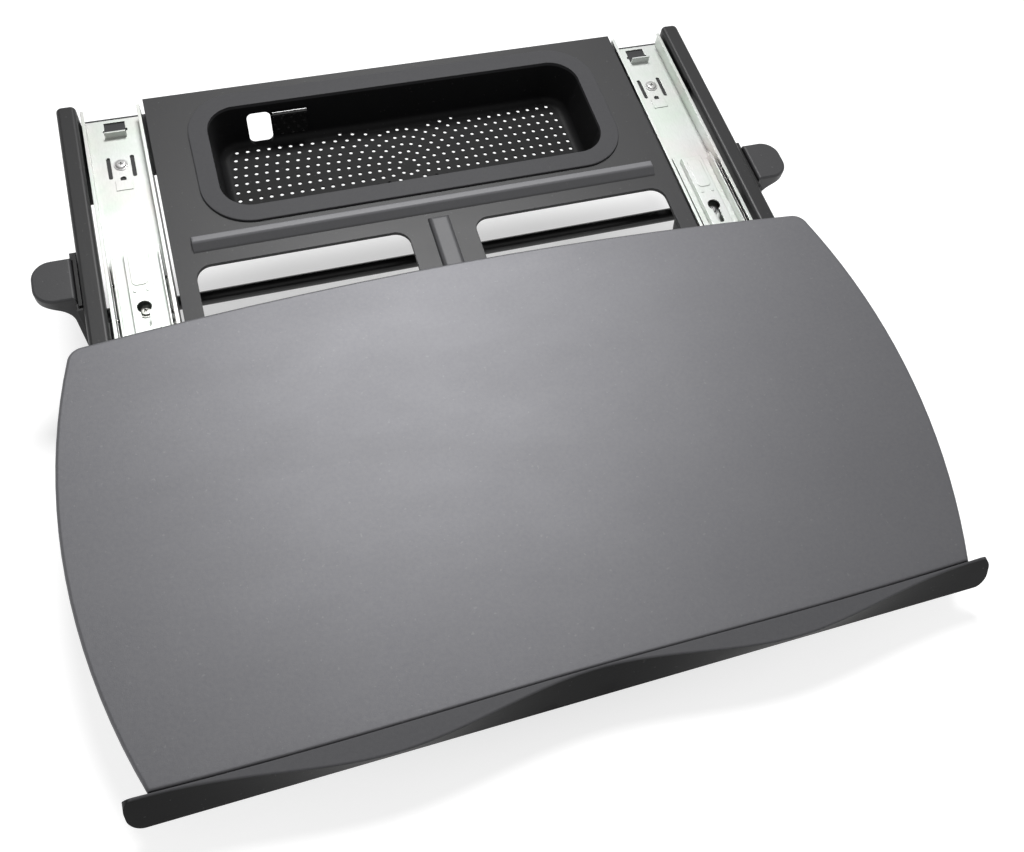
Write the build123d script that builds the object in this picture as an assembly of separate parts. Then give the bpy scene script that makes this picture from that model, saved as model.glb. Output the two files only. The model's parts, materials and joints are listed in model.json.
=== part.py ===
from build123d import *
from math import cos, pi, radians, sin
import os

# Driving sizes in millimetres and degrees.
# Deck pieces are drawn lying flat: x to the right, y to the back with 0 at the panel's back edge,
# z up with 0 at the panel's top. The deck is then tilted onto the stand, front edge down.
deck_tilt = 15.0
quarter_turn = 90.0
lip_table_gap = 30.0
overrun = 2.0
running_gap = 0.3
hole_gap = 0.1

panel_width = 414.0
panel_front_margin = 3.0
panel_thickness = 3.0
panel_wall = 2.5

ridge_end_margin = 16.0
ridge_tray_gap = 5.3
ridge_back_slope = 3.2
ridge_crest_width = 4.6
ridge_front_slope = 7.7
ridge_height = 5.0
ridge_round = 1.5

window_inner = 27.1
window_side_margin = 14.5
window_ridge_gap = 12.4
window_front_margin = 23.0
window_round = 12.0
divider_rib_width = 17.0
divider_rib_gap = 5.7
divider_rib_height = 4.0
divider_rib_round = 3.4

tray_ring_side_margin = 30.0
tray_ring_back = 8.5
tray_ring_depth = 137.0
tray_ring_band = 15.5
tray_ring_rise = 2.0
tray_ring_round = 40.0
tray_ring_edge = 0.8
tray_depth = 39.0
tray_wall = 2.0
tray_floor = 1.5
tray_draft = 8.0
tray_seat_gap = 0.5
tray_floor_round = 8.0
tray_slot_left = 127.5
tray_slot_right = 107.5
tray_slot_top = 8.0
tray_slot_bottom = 38.0
tray_slot_round = 5.0
tray_slot_reach = 14.0
tray_hole_radius = 1.7
tray_hole_ring_pitch = 8.68
tray_hole_ring_step = 6
tray_hole_ring_start = 2
tray_hole_centre_shift = 3.2
tray_hole_side_margin = 11.5
tray_hole_end_margin = 8.6
clip_left = 106.0
clip_right = 77.0
clip_top = 9.0
clip_bottom = 31.5
clip_thickness = 1.6
clip_wall_gap = 0.2
clip_roll_radius = 2.4

slide_width = 47.0
slide_panel_gap = 3.3
slide_length = 300.0
slide_setback = 3.0
slide_top_drop = 1.8
slide_height = 14.5
slide_sheet = 1.2
slide_lip = 2.6
slide_screw_setback = 50.4
slide_screw_spacing = 147.0
slide_spare_hole_gap = 14.5
slide_spare_hole_radius = 2.4
slide_slot_offset = 9.4
slide_slot_width = 3.2
slide_slot_setback = 41.0
slide_slot_length = 23.0
slide_pad_width = 13.0
slide_pad_setback = 67.0
slide_pad_length = 10.0
slide_pad_rise = 0.6
stop_tab_width = 16.8
stop_tab_setback = 19.0
stop_tab_height = 6.5
stop_tab_cut = 16.0
stop_tab_relief = 1.5
stop_tab_relief_setback = 12.2

middle_width = 36.6
middle_shortfall = 30.0
middle_closed_setback = 28.8
middle_strip_width = 18.0
middle_strip_drop = 7.0
middle_floor_drop = 12.5
middle_flange_drop = 4.5
keyhole_setback = 54.0
keyhole_radius = 5.4
keyhole_tail = 19.0
keyhole_tail_width = 6.0
dimple_setback = 38.7
dimple_offset = 4.6
dimple_radius = 1.3
dimple_rise = 0.5
strip_plate_setback = 3.7
strip_plate_length = 30.0
strip_plate_width = 12.0
strip_plate_rise = 0.5
strip_plate_round = 4.0

inner_width = 28.0
inner_setback = 12.0
inner_top = 0.7
inner_leg_drop = 10.5

outer_ball_radius = 1.7
outer_ball_drop = 9.0
inner_ball_radius = 1.25
inner_ball_drop = 8.0
cage_end_margin = 12.9
cage_sheet = 0.6
cage_top_margin = 2.2
cage_ball_count = 4

rail_slide_gap = 2.2
rail_width = 15.5
rail_rise = 3.0
rail_drop = 42.0
rail_wall = 2.5
rail_round = 3.2
rail_end_round = 4.5
rail_back = 1.0
rail_ledge_width = 12.0
rail_ledge_thickness = 2.5
rail_screw_inset = 18.0
rail_screw_pitch = 32.0
rail_bed_gap = 0.2
side_gap_back = 66.0
side_gap_front_margin = 66.0
side_gap_setback = 5.7
side_gap_margin = 0.2

leg_y = 170.0
post_inset = 1.0
post_sheet = 2.6
post_width = 48.0
post_top_drop = 2.0
post_end_height = 9.4
post_lug_above = 8.0
post_lug_below = 7.0
post_lug_reach = 10.6
post_shelf_width = 9.0
post_shelf_offset = 14.0
post_shelf_reach = 10.5
guide_wall = 2.7
guide_top_drop = 4.0
guide_lip_reach = 3.9
guide_lip_thickness = 1.8
height_travel = 24.0
height_step = 12.0

lever_root_gap = 0.9
lever_thickness = 6.0
lever_width = 38.4
lever_top = 1.0
paddle_reach = 29.5
paddle_thickness = 8.0
paddle_round = 15.0
paddle_web_round = 19.0
paddle_edge_round = 2.0
lever_pin_drop = 72.0
lever_pin_radius = 2.0
lever_pin_head_radius = 3.4
lever_pin_head = 1.2
lever_nose_width = 14.0
lever_nose_drop = 12.0
lever_nose_height = 4.0
lever_nose_margin = 0.6
notch_depth = 1.0
notch_margin = 1.0
spring_wire = 0.9
spring_coil_radius = 3.15
spring_pitch = 1.3
spring_turn_count = 4
spring_notch_width = 11.0

tube_drop = 53.0
tube_radius = 5.75
tube_bore_radius = 4.5
tube_spigot_radius = 4.0
tube_plug_length = 26.0

foot_width = 26.0
foot_inner_margin = 12.0
foot_front_reach = 197.4
foot_back_reach = 62.6
foot_height = 13.0
foot_round = 10.0
foot_edge_round = 2.5
foot_lift = 1.5
boss_grip = 19.0
boss_root = 18.0
boss_margin_x = 5.4
boss_margin_y = 5.0
boss_round = 3.0
post_screw_offset = 12.0
post_screw_rise = 11.0
pad_radius = 9.0
pad_thickness = 4.0
pad_end_inset = 13.0

platform_top = 19.5
platform_skin = 3.5
platform_rim = 11.0
platform_rim_wall = 3.0
platform_edge_round = 2.4
platform_travel = 231.0
platform_rear_bow = 14.0
platform_rear_overhang = 10.3
platform_widest_overhang = 30.5
platform_widest_share = 0.5065
platform_front_overhang = -0.5
platform_front_margin = 10.0
platform_corner_round = 12.0
crease_lobe_swell = 1.8
crease_middle_swell = 0.6
lobe_share = 0.4663
rib_wall = 2.5
cross_rib_shares = (0.22, 0.48, 0.74)
long_rib_shares = (-0.58, -0.2, 0.2, 0.58)
runner_width = 24.0
runner_wall = 3.0
runner_boss_length = 16.0
runner_end_gap = 2.0
platform_screw_inset = 16.0
platform_screw_reach = 11.0

lip_end_overhang = 15.0
lip_depth = 14.7
lip_top = 22.5
lip_bottom = 0.5
lip_end_round = 9.0
lip_crest_round = 1.2
lip_band_narrow = 1.6
lip_band_wave = 15.9
lip_crease_gap = 0.15
lip_screw_reach = 3.6
lip_screw_height = 12.2
lip_wave_shares = (0.0, 0.25, 0.5, 0.75, 1.0)

small_screw_radius = 1.5
small_screw_head_radius = 3.0
small_screw_head = 1.8
slide_screw_radius = 2.0
slide_screw_head_radius = 4.8
slide_screw_head = 2.2
drive_radius = 1.5
drive_depth = 1.0
drive_sides = 4

# Derived positions. Deck depths such as ridge_front are counted forward from the panel's back edge.
tilt_sine = sin(radians(deck_tilt))
tilt_cosine = cos(radians(deck_tilt))
panel_half = panel_width / 2
slide_x = panel_half + slide_panel_gap + slide_width / 2
slide_floor = -slide_top_drop - slide_height
slide_floor_top = slide_floor + slide_sheet
slide_front = slide_setback + slide_length
slide_first_screw = slide_setback + slide_screw_setback
slide_screw_ys = (slide_first_screw, slide_first_screw + slide_screw_spacing)
panel_depth = slide_front + panel_front_margin
bed_bottom = slide_floor - panel_wall

tray_ring_width = panel_width - 2 * tray_ring_side_margin
tray_ring_front = tray_ring_back + tray_ring_depth
ridge_back = tray_ring_front + ridge_tray_gap
ridge_crest_back = ridge_back + ridge_back_slope
ridge_crest_front = ridge_crest_back + ridge_crest_width
ridge_front = ridge_crest_front + ridge_front_slope
ridge_half = panel_half - ridge_end_margin
window_outer = panel_half - window_side_margin
window_back = ridge_front + window_ridge_gap
window_front = panel_depth - window_front_margin
divider_rib_back = ridge_front + divider_rib_gap

middle_length = slide_length - middle_shortfall
middle_back = slide_setback + middle_closed_setback + platform_travel / 2
middle_front = middle_back + middle_length
inner_back = platform_travel + inner_setback
inner_front = inner_back + slide_length
outer_cage_x = (slide_width / 2 - slide_sheet + middle_width / 2) / 2
outer_cage_back = middle_back + cage_end_margin
outer_cage_length = slide_front - middle_back - 2 * cage_end_margin
inner_cage_x = (middle_width / 2 - slide_sheet + inner_width / 2) / 2
inner_cage_back = inner_back + cage_end_margin
inner_cage_length = middle_front - inner_back - 2 * cage_end_margin
platform_screw_ys = (
    inner_back + platform_screw_inset, (inner_back + inner_front) / 2, inner_front - platform_screw_inset
)

rail_inner = slide_x + slide_width / 2 + rail_slide_gap
rail_outer = rail_inner + rail_width
rail_screw_second = rail_screw_inset + rail_screw_pitch
rail_screw_ys = (
    rail_screw_inset, rail_screw_second, panel_depth - rail_screw_second, panel_depth - rail_screw_inset
)
side_gap_front = panel_depth - side_gap_front_margin

platform_under = platform_top - platform_skin
platform_rim_bottom = platform_top - platform_rim
platform_rear_middle = platform_travel
platform_rear_side = platform_rear_middle + platform_rear_bow
platform_rear_half = rail_outer + platform_rear_overhang
platform_widest_half = rail_outer + platform_widest_overhang
platform_front_half = rail_outer + platform_front_overhang
crease_end = inner_front + platform_front_margin
crease_lobe = crease_end + crease_lobe_swell
crease_middle = crease_end + crease_middle_swell
platform_widest_y = platform_rear_side + platform_widest_share * (crease_end - platform_rear_side)
lip_half = platform_front_half + lip_end_overhang
lip_front = crease_end + lip_depth
lobe_x = lobe_share * lip_half
deck_height = lip_table_gap + lip_front * tilt_sine - lip_bottom * tilt_cosine
deck = Location((0, 0, deck_height), (deck_tilt, 0, 0))

post_inner = rail_outer + post_inset
post_outer = post_inner + post_sheet
post_back = -leg_y + post_width / 2
post_front = -leg_y - post_width / 2
post_length = (deck_height + post_front * tilt_sine - post_end_height) / tilt_cosine
post_foot_y = leg_y * tilt_cosine - post_length * tilt_sine
post_screw_drop = post_length - post_screw_rise
boss_top_drop = post_length - boss_grip
boss_bottom_drop = post_length + boss_root
foot_inner = post_inner - foot_inner_margin
foot_front = post_foot_y + foot_front_reach
foot_back = post_foot_y - foot_back_reach
lever_inner = post_outer + lever_root_gap
lever_outer = lever_inner + lever_thickness
lever_pin_x = lever_inner + lever_thickness / 2


def block(x0, x1, y0, y1, z0, z1):
    """A box between two corners."""
    middle = Pos((x0 + x1) / 2, (y0 + y1) / 2, (z0 + z1) / 2)
    return middle * Box(x1 - x0, y1 - y0, z1 - z0)


def rounded_block(x0, x1, y0, y1, z0, z1, radius):
    """A box with rounded corners in plan."""
    plan = Pos((x0 + x1) / 2, (y0 + y1) / 2, z0) * RectangleRounded(x1 - x0, y1 - y0, radius)
    return extrude(plan, z1 - z0)


def rod_x(x0, x1, y, z, radius):
    """A round bar along x."""
    return Pos((x0 + x1) / 2, y, z) * Rot(0, quarter_turn, 0) * Cylinder(radius, x1 - x0)


def rod_y(x, y0, y1, z, radius):
    """A round bar along y."""
    return Pos(x, (y0 + y1) / 2, z) * Rot(quarter_turn, 0, 0) * Cylinder(radius, y1 - y0)


def rod_z(x, y, z0, z1, radius):
    """A round bar along z."""
    return Pos(x, y, (z0 + z1) / 2) * Cylinder(radius, z1 - z0)


def bar_along_x(points, x0, x1):
    """A bar along x with its section given as (y, z) points."""
    section = Pos(x0, 0, 0) * (Plane.YZ * Polygon(*points, align=None))
    return extrude(section, x1 - x0, dir=(1, 0, 0))


def bar_along_y(points, y0, y1):
    """A bar along y with its section given as (x, z) points."""
    section = Pos(0, y1, 0) * (Plane.XZ * Polygon(*points, align=None))
    return extrude(section, y1 - y0, dir=(0, -1, 0))


def other_side(shape):
    """The same piece on the left."""
    return mirror(shape, about=Plane.YZ)


def both_sides(shapes):
    """Right-hand solids and their left-hand copies as one group."""
    return Compound(children=shapes + [other_side(shape) for shape in shapes])


def screw_up(x, y, seat, reach, radius, head_radius, head):
    """A screw driven upwards, with its head below the seat."""
    shank = rod_z(x, y, seat - head / 2, seat + reach, radius)
    cap = rod_z(x, y, seat - head, seat, head_radius)
    recess = Pos(x, y, seat - head) * extrude(RegularPolygon(drive_radius, drive_sides), drive_depth)
    return shank + cap - recess


def make_panel():
    """The moulded base: panel, slide beds, windows, ridge and divider rib."""
    panel = block(-panel_half, panel_half, -panel_depth, 0, -panel_thickness, 0)
    panel += block(-panel_half, panel_half, -panel_wall, 0, bed_bottom, 0)
    panel += block(-panel_half, panel_half, -panel_depth, panel_wall - panel_depth, bed_bottom, 0)
    for side in (-1, 1):
        wall_x = sorted((side * (panel_half - panel_wall), side * panel_half))
        bed_x = sorted((side * (panel_half - panel_wall), side * (rail_inner - rail_bed_gap)))
        panel += block(*wall_x, -panel_depth, 0, bed_bottom, 0)
        panel += block(*bed_x, -panel_depth, 0, bed_bottom, slide_floor)
    opening = tray_ring_width / 2 - tray_ring_band + tray_wall + tray_seat_gap
    opening_back = -tray_ring_back - tray_ring_band + tray_wall + tray_seat_gap
    opening_front = -tray_ring_front + tray_ring_band - tray_wall - tray_seat_gap
    opening_round = tray_ring_round - tray_ring_band + tray_wall + tray_seat_gap
    panel -= rounded_block(
        -opening, opening, opening_front, opening_back, -panel_thickness - overrun, overrun, opening_round
    )
    for side in (-1, 1):
        window_x = sorted((side * window_inner, side * window_outer))
        panel -= rounded_block(
            *window_x, -window_front, -window_back, -panel_thickness - overrun, overrun, window_round
        )
    ridge_points = (
        (-ridge_back, 0),
        (-ridge_crest_back, ridge_height),
        (-ridge_crest_front, ridge_height),
        (-ridge_front, 0),
    )
    ridge = bar_along_x(ridge_points, -ridge_half, ridge_half)
    panel += fillet(ridge.edges().group_by(Axis.Z)[-1], ridge_round)
    rib_half = divider_rib_width / 2
    rib = block(-rib_half, rib_half, -panel_depth, -divider_rib_back, 0, divider_rib_height)
    panel += fillet(rib.edges().group_by(Axis.Z)[-1], divider_rib_round)
    slide_edge = slide_width / 2 + side_gap_margin
    for side in (-1, 1):
        for gap in ((panel_half + side_gap_margin, slide_x - slide_edge), (slide_x + slide_edge, rail_inner)):
            gap_x = sorted((side * gap[0], side * gap[1]))
            panel -= block(
                *gap_x, -side_gap_front, -side_gap_back, bed_bottom - overrun, slide_floor + overrun
            )
        for screw_y in slide_screw_ys:
            panel -= rod_z(
                side * slide_x, -screw_y, bed_bottom - overrun, slide_floor + overrun,
                slide_screw_radius + hole_gap,
            )
        for screw_y in rail_screw_ys:
            ledge_x = rail_inner - rail_ledge_width / 2
            panel -= rod_z(
                side * ledge_x, -screw_y, bed_bottom - overrun, bed_bottom + panel_wall / 2,
                small_screw_radius + hole_gap,
            )
    return panel


def make_rail():
    """The right side rail: an open-bottomed channel with two ledges and two post guides."""
    rail = block(rail_inner, rail_outer, -panel_depth, rail_back, -rail_drop, rail_rise)
    end_edges = rail.edges().filter_by(Axis.Z).group_by(Axis.Y)[-1]
    rail = fillet(end_edges, rail_end_round)
    upper_edges = rail.edges().group_by(Axis.Z)[-1]
    rail = fillet(upper_edges, rail_round)
    rail -= block(
        rail_inner + rail_wall, rail_outer - rail_wall, rail_wall - panel_depth, rail_back - rail_wall,
        -rail_drop - overrun, rail_rise - rail_wall,
    )
    roof = rail_rise - rail_wall
    gap_wall = rail_inner + side_gap_setback
    rail += block(
        rail_inner + rail_wall / 2, gap_wall + rail_wall, -side_gap_front - rail_wall,
        -side_gap_back + rail_wall, -rail_drop, roof + rail_wall / 2,
    )
    rail -= block(
        rail_inner - overrun, gap_wall, -side_gap_front, -side_gap_back, -rail_drop - overrun, roof
    )
    ledge_inner = rail_inner - rail_ledge_width
    for ledge_y in ((-side_gap_back, -rail_end_round), (-panel_depth, -side_gap_front)):
        rail += block(
            ledge_inner, rail_inner + rail_wall / 2, *ledge_y, bed_bottom - rail_ledge_thickness, bed_bottom
        )
    for screw_y in rail_screw_ys:
        rail -= rod_z(
            rail_inner - rail_ledge_width / 2, -screw_y, bed_bottom - rail_ledge_thickness - overrun,
            bed_bottom + overrun, small_screw_radius + hole_gap,
        )
    lip_x = post_outer + running_gap
    for end in (-1, 1):
        edge = -leg_y + end * (post_width / 2 + running_gap)
        wall_y = sorted((edge, edge + end * guide_wall))
        lip_y = sorted((edge - end * guide_lip_reach, edge + end * guide_wall))
        rail += block(
            rail_outer - rail_wall / 2, lip_x + guide_lip_thickness, *wall_y, -rail_drop, -guide_top_drop
        )
        rail += block(lip_x, lip_x + guide_lip_thickness, *lip_y, -rail_drop, -guide_top_drop)
    notch_half = lever_nose_width / 2 + notch_margin
    notch_rows = round(height_travel / height_step) + 1
    for row in range(notch_rows):
        notch_z = -lever_nose_drop - row * height_step
        notch_reach = lever_nose_height / 2 + notch_margin
        rail -= block(
            rail_outer - notch_depth, rail_outer + overrun / 2, -leg_y - notch_half, -leg_y + notch_half,
            notch_z - notch_reach, notch_z + notch_reach,
        )
    return rail


def make_rail_screws():
    """Screws that hold the rails to the slide beds from below."""
    screws = []
    for screw_y in rail_screw_ys:
        screws.append(
            screw_up(
                rail_inner - rail_ledge_width / 2, -screw_y, bed_bottom - rail_ledge_thickness,
                rail_ledge_thickness + panel_wall / 2 - hole_gap, small_screw_radius,
                small_screw_head_radius, small_screw_head,
            )
        )
    return both_sides(screws)


def tray_plan(inset, level):
    """The tray's opening in plan, drawn smaller by an inset, at a level."""
    half = tray_ring_width / 2 - tray_ring_band - inset
    back = -tray_ring_back - tray_ring_band - inset
    front = -tray_ring_front + tray_ring_band + inset
    corner = tray_ring_round - tray_ring_band - inset
    return Pos(0, (back + front) / 2, level) * RectangleRounded(2 * half, back - front, corner)


def make_tray():
    """The drop-in pencil tray: ring flange, drafted walls, perforated floor and a slotted back wall."""
    ring = rounded_block(
        -tray_ring_width / 2, tray_ring_width / 2, -tray_ring_front, -tray_ring_back, 0, tray_ring_rise,
        tray_ring_round,
    )
    ring = fillet(ring.edges().group_by(Axis.Z)[-1], tray_ring_edge)
    shell = extrude(tray_plan(-tray_wall, 0), -tray_depth - tray_floor, taper=tray_draft)
    hollow = extrude(tray_plan(0, 0), -tray_depth, taper=tray_draft)
    hollow = fillet(hollow.edges().group_by(Axis.Z)[0], tray_floor_round)
    mouth = extrude(tray_plan(0, 0), tray_ring_rise + overrun)
    tray = ring + shell - hollow - mouth
    back_wall = -tray_ring_back - tray_ring_band
    slot_middle = Pos(-(tray_slot_left + tray_slot_right) / 2, -(tray_slot_top + tray_slot_bottom) / 2)
    slot_plan = slot_middle * RectangleRounded(
        tray_slot_left - tray_slot_right, tray_slot_bottom - tray_slot_top, tray_slot_round
    )
    slot = Pos(0, back_wall + tray_slot_reach, 0) * (Plane.XZ * slot_plan)
    tray -= extrude(slot, 2 * tray_slot_reach)
    holes = [Pos(x, y) * Circle(tray_hole_radius) for x, y in tray_hole_places()]
    low = -tray_depth - tray_floor - overrun
    return tray - extrude(Pos(0, 0, low) * Sketch(children=holes), -low - tray_depth + tray_floor_round)


def tray_hole_places():
    """The floor's small holes, in rings round one centre, kept inside the floor."""
    half = tray_ring_width / 2 - tray_ring_band - tray_hole_side_margin
    back = -tray_ring_back - tray_ring_band - tray_hole_end_margin
    front = -tray_ring_front + tray_ring_band + tray_hole_end_margin
    centre = (back + front) / 2 - tray_hole_centre_shift
    places = []
    for ring in range(1, int(half / tray_hole_ring_pitch) + 1):
        count = ring * tray_hole_ring_step + tray_hole_ring_start
        for index in range(count):
            turn = 2 * pi * index / count
            x = ring * tray_hole_ring_pitch * cos(turn)
            y = centre + ring * tray_hole_ring_pitch * sin(turn)
            if front < y < back:
                places.append((x, y))
    return places


def make_clip():
    """A leaf clip with a rolled upper edge on the tray's back wall."""
    slope = sin(radians(tray_draft)) / cos(radians(tray_draft))
    wall_y = -tray_ring_back - tray_ring_band - clip_wall_gap
    top_y = wall_y - clip_top * slope
    bottom_y = wall_y - clip_bottom * slope
    leaf_points = (
        (top_y, -clip_top),
        (bottom_y, -clip_bottom),
        (bottom_y - clip_thickness, -clip_bottom),
        (top_y - clip_thickness, -clip_top),
    )
    leaf = bar_along_x(leaf_points, -clip_left, -clip_right)
    roll_y = top_y - clip_roll_radius - clip_wall_gap
    return leaf + rod_x(-clip_left, -clip_right, roll_y, -clip_top, clip_roll_radius)


def make_slide_outer():
    """The right slide's outer member, fixed to the base."""
    half = slide_width / 2
    top = -slide_top_drop
    points = (
        (-half, top),
        (-half, slide_floor),
        (half, slide_floor),
        (half, top),
        (half - slide_lip, top),
        (half - slide_lip, top - slide_sheet),
        (half - slide_sheet, top - slide_sheet),
        (half - slide_sheet, slide_floor_top),
        (slide_sheet - half, slide_floor_top),
        (slide_sheet - half, top - slide_sheet),
        (slide_lip - half, top - slide_sheet),
        (slide_lip - half, top),
    )
    member = bar_along_y(points, -slide_setback - slide_length, -slide_setback)
    low = slide_floor - overrun
    high = slide_floor_top + overrun / 2
    for screw_y in slide_screw_ys:
        member -= rod_z(0, -screw_y, low, high, slide_screw_radius + hole_gap)
    spare_hole_y = slide_first_screw + slide_spare_hole_gap
    member -= rod_z(0, -spare_hole_y, low, high, slide_spare_hole_radius)
    slot_back = -slide_setback - slide_slot_setback
    for side in (-1, 1):
        slot_x = side * slide_slot_offset
        member -= rounded_block(
            slot_x - slide_slot_width / 2, slot_x + slide_slot_width / 2, slot_back - slide_slot_length,
            slot_back, low, high, slide_slot_width / 2 - hole_gap,
        )
    pad_half = slide_pad_width / 2
    pad_back = -slide_setback - slide_pad_setback
    member += block(
        -pad_half, pad_half, pad_back - slide_pad_length, pad_back, slide_floor_top - slide_sheet / 2,
        slide_floor_top + slide_pad_rise,
    )
    tab_half = stop_tab_width / 2
    tab_back = -slide_setback - stop_tab_setback
    member -= block(-tab_half, tab_half, tab_back, tab_back + stop_tab_cut, low, high)
    for side in (-1, 1):
        relief_y = -slide_setback - stop_tab_relief_setback
        member -= rod_z(side * tab_half, relief_y, low, high, stop_tab_relief)
    member += block(
        -tab_half, tab_half, tab_back - slide_sheet, tab_back, slide_floor_top - slide_sheet / 2,
        slide_floor_top + stop_tab_height,
    )
    return Pos(slide_x, 0, 0) * member


def make_slide_screws():
    """Screws that hold the outer members to the base from above."""
    screws = []
    for screw_y in slide_screw_ys:
        shank = rod_z(slide_x, -screw_y, bed_bottom, slide_floor_top + hole_gap, slide_screw_radius)
        head_top = slide_floor_top + slide_screw_head
        head = rod_z(slide_x, -screw_y, slide_floor_top, head_top, slide_screw_head_radius)
        head = chamfer(head.edges().group_by(Axis.Z)[-1], slide_screw_head / 2)
        recess = Pos(slide_x, -screw_y, head_top - drive_depth) * extrude(
            RegularPolygon(drive_radius, drive_sides), drive_depth + overrun
        )
        screws.append(shank + head - recess)
    return both_sides(screws)


def make_slide_middle():
    """The right slide's middle member, with its keyhole, dimples and strip plate."""
    half = middle_width / 2
    strip = middle_strip_width / 2
    floor = -middle_floor_drop
    strip_top = -middle_strip_drop
    flange_top = -middle_flange_drop
    points = (
        (-half, flange_top),
        (-half, floor - slide_sheet),
        (slide_sheet - strip, floor - slide_sheet),
        (slide_sheet - strip, strip_top - slide_sheet),
        (strip - slide_sheet, strip_top - slide_sheet),
        (strip - slide_sheet, floor - slide_sheet),
        (half, floor - slide_sheet),
        (half, flange_top),
        (half - slide_sheet, flange_top),
        (half - slide_sheet, floor),
        (strip, floor),
        (strip, strip_top),
        (-strip, strip_top),
        (-strip, floor),
        (slide_sheet - half, floor),
        (slide_sheet - half, flange_top),
    )
    member = bar_along_y(points, -middle_front, -middle_back)
    keyhole_y = middle_back + keyhole_setback
    dimple_y = middle_back + dimple_setback
    plate_back = middle_back + strip_plate_setback
    low = strip_top - slide_sheet - overrun / 2
    high = strip_top + overrun
    member -= rod_z(0, -keyhole_y, low, high, keyhole_radius)
    tail_half = keyhole_tail_width / 2
    member -= rounded_block(
        -tail_half, tail_half, -keyhole_y - keyhole_tail, -keyhole_y, low, high, tail_half - hole_gap
    )
    for side in (-1, 1):
        member += rod_z(
            side * dimple_offset, -dimple_y, strip_top - slide_sheet / 2, strip_top + dimple_rise,
            dimple_radius,
        )
    plate_half = strip_plate_width / 2
    member += rounded_block(
        -plate_half, plate_half, -plate_back - strip_plate_length, -plate_back, strip_top - slide_sheet / 2,
        strip_top + strip_plate_rise, strip_plate_round,
    )
    return Pos(slide_x, 0, 0) * member


def make_slide_inner():
    """The right slide's inner member, fixed under the platform."""
    half = inner_width / 2
    leg_bottom = -inner_leg_drop
    web_under = inner_top - slide_sheet
    points = (
        (-half, inner_top),
        (-half, leg_bottom),
        (slide_sheet - half, leg_bottom),
        (slide_sheet - half, web_under),
        (half - slide_sheet, web_under),
        (half - slide_sheet, leg_bottom),
        (half, leg_bottom),
        (half, inner_top),
    )
    member = bar_along_y(points, -inner_front, -inner_back)
    for screw_y in platform_screw_ys:
        member -= rod_z(
            0, -screw_y, web_under - overrun, inner_top + overrun, small_screw_radius + hole_gap
        )
    return Pos(slide_x, 0, 0) * member


def ball_ys(back, length):
    """The balls' positions along a cage."""
    pitch = length / cage_ball_count
    return [-back - (index + 1 / 2) * pitch for index in range(cage_ball_count)]


def make_cage(cage_x, back, length, ball_radius, ball_drop):
    """The right slide's two cage strips of one ball row pair."""
    half_height = ball_radius + cage_top_margin
    strips = []
    for side in (-1, 1):
        strip_x = slide_x + side * cage_x
        strip = block(
            strip_x - cage_sheet / 2, strip_x + cage_sheet / 2, -back - length, -back,
            -ball_drop - half_height, -ball_drop + half_height,
        )
        for ball_y in ball_ys(back, length):
            strip -= rod_x(
                strip_x - cage_sheet, strip_x + cage_sheet, ball_y, -ball_drop, ball_radius + hole_gap
            )
        strips.append(strip)
    return Compound(children=strips)


def make_balls(cage_x, back, length, ball_radius, ball_drop):
    """The balls of one row pair in both slides."""
    balls = []
    for side in (-1, 1):
        for ball_y in ball_ys(back, length):
            balls.append(Pos(slide_x + side * cage_x, ball_y, -ball_drop) * Sphere(ball_radius))
    return both_sides(balls)


def platform_plan(inset, level):
    """The platform's outline, drawn smaller by an inset, at a level."""
    rear_half = platform_rear_half - inset
    rear_y = -platform_rear_side - inset
    front_half = platform_front_half - inset
    rear = ThreePointArc(
        (-rear_half, rear_y), (0, -platform_rear_middle - inset), (rear_half, rear_y)
    )
    right = ThreePointArc(
        (rear_half, rear_y), (platform_widest_half - inset, -platform_widest_y),
        (front_half, -crease_end + inset),
    )
    front = crease_line(front_half, inset)
    left = ThreePointArc(
        (-front_half, -crease_end + inset), (inset - platform_widest_half, -platform_widest_y),
        (-rear_half, rear_y),
    )
    return Pos(0, 0, level) * make_face(Curve() + [rear, right, front, left])


def crease_line(half, inset):
    """The wavy line where the platform meets its lip, from right to left."""
    return Spline(
        (half, -crease_end + inset), (lobe_x, -crease_lobe + inset), (0, -crease_middle + inset),
        (-lobe_x, -crease_lobe + inset), (-half, -crease_end + inset),
    )


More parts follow.
